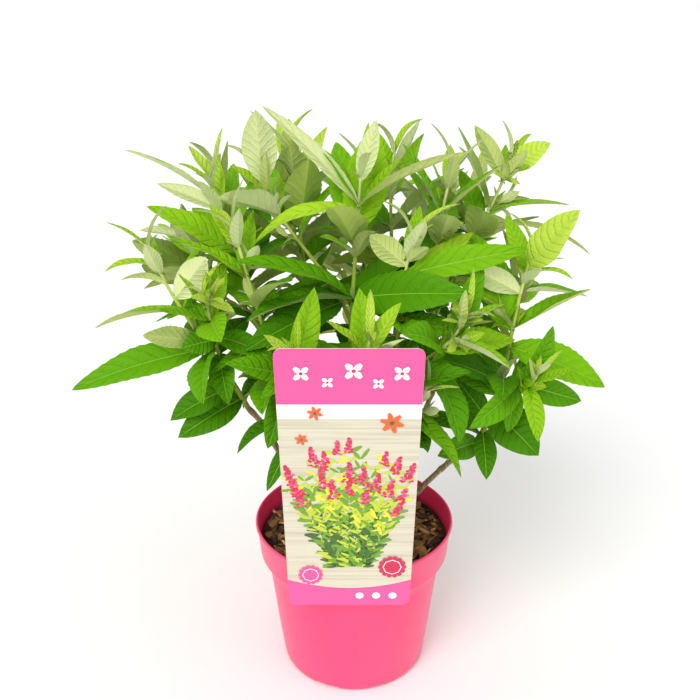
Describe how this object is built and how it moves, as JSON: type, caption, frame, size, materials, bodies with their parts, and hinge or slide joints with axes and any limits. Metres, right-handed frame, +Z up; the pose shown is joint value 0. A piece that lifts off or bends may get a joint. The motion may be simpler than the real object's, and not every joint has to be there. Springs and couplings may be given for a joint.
{
  "type": "potted butterfly bush",
  "caption": "Young bushy butterfly bush with fans of narrow leaves, standing in a round pink nursery pot with a picture card hooked over its rim.",
  "frame": {"origin": "centre of the pot's flat underside", "axes": "+Z up along the pot's axis, -Y toward the side with the card, +X to the right of it"},
  "size_m": [0.4067, 0.3118, 0.4856],
  "materials": {
    "pot_pink": "injection-moulded polypropylene, satin",
    "bark_mulch": "damp compost under shredded bark",
    "printed_card": "printed plastic card, satin",
    "bark": "thin brown bark on young wood",
    "leaf": "soft matt leaves with pale felted undersides"
  },
  "bodies": {
    "root": {"pot": "pot_pink", "soil": "bark_mulch", "label_card": "printed_card", "trunk": "bark", "bough_left_front": "bark", "bough_front": "bark", "bough_right": "bark", "bough_right_back": "bark", "bough_back": "bark", "bough_left_back": "bark", "bough_left": "bark", "bough_front_left": "bark", "bough_front_right": "bark", "bough_right_upper": "bark", "bough_back_right": "bark", "bough_back_left": "bark", "bough_leader": "bark", "foliage_left_front": "leaf", "foliage_front": "leaf", "foliage_right": "leaf", "foliage_right_back": "leaf", "foliage_back": "leaf", "foliage_left_back": "leaf", "foliage_left": "leaf", "foliage_front_left": "leaf", "foliage_front_right": "leaf", "foliage_right_upper": "leaf", "foliage_back_right": "leaf", "foliage_back_left": "leaf", "foliage_leader": "leaf"}
  },
  "joints": []
}
